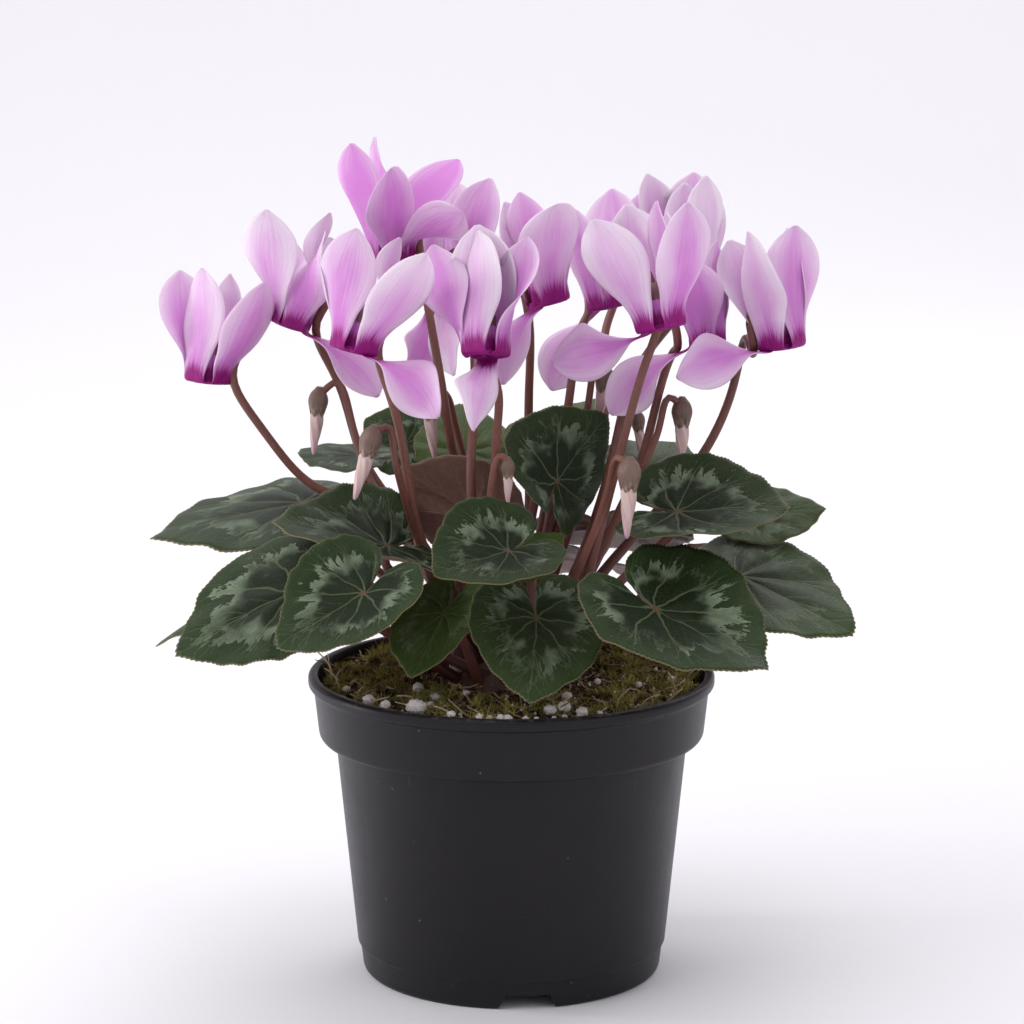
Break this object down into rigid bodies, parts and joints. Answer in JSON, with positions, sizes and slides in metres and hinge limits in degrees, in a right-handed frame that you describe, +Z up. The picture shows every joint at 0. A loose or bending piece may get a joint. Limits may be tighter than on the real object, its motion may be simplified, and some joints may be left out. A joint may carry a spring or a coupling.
{
  "type": "potted cyclamen",
  "caption": "Flowering cyclamen with heart-shaped leaves, reflexed pink-lilac blooms and nodding buds, growing in a round black plastic nursery pot of soil.",
  "frame": {"origin": "on the pot's axis, at the underside that the pot stands on", "axes": "+Z up along the pot's axis; -Y is the front, the side with the drainage notch and the lowest leaves; +X to the right seen from the front"},
  "size_m": [0.2028, 0.1597, 0.2444],
  "materials": {
    "pot": "satin charcoal-black moulded plastic, lightly scuffed and dusty",
    "soil": "moist dark peat with moss and white grains of perlite",
    "stalk": "reddish-brown, smooth and slightly glossy",
    "leaf": "dark green with a silvery band and pale veins, satin",
    "petal": "pale lilac-pink with a deep magenta base, silky",
    "bud": "furled pale pink petals, silky"
  },
  "bodies": {
    "root": {"pot": "pot", "soil": "soil", "tuber_and_stalks": "stalk", "leaf_left_high": "leaf", "leaf_left_low": "leaf", "leaf_front_left": "leaf", "leaf_left_middle": "leaf", "leaf_centre": "leaf", "leaf_front_low": "leaf", "leaf_front_small": "leaf", "leaf_front_right": "leaf", "leaf_right_high": "leaf", "leaf_right_low": "leaf", "leaf_right_far": "leaf", "leaf_middle_high": "leaf", "leaf_middle_back": "leaf", "leaf_left_rear_high": "leaf", "leaf_rear_left_top": "leaf", "leaf_left_under": "leaf", "leaf_inner_left": "leaf", "leaf_rear_top": "leaf", "leaf_right_under": "leaf", "leaf_rear_right_top": "leaf", "leaf_heart_small": "leaf", "leaf_rear_left": "leaf", "leaf_rear_low": "leaf", "leaf_rear_right": "leaf", "leaf_right_rear_low": "leaf", "leaf_left_rear_low": "leaf", "bloom_far_left": "petal", "bloom_left": "petal", "bloom_left_front": "petal", "bloom_top_left": "petal", "bloom_centre": "petal", "bloom_centre_right": "petal", "bloom_rear_left": "petal", "bloom_right_inner": "petal", "bloom_front_right": "petal", "bloom_top_right": "petal", "bloom_right_low": "petal", "bloom_far_right": "petal", "bloom_rear_right": "petal", "bud_left": "bud", "bud_left_front": "bud", "bud_middle_left": "bud", "bud_centre": "bud", "bud_right_front": "bud", "bud_right": "bud", "bud_right_rear": "bud", "bud_middle_right": "bud"}
  },
  "joints": []
}
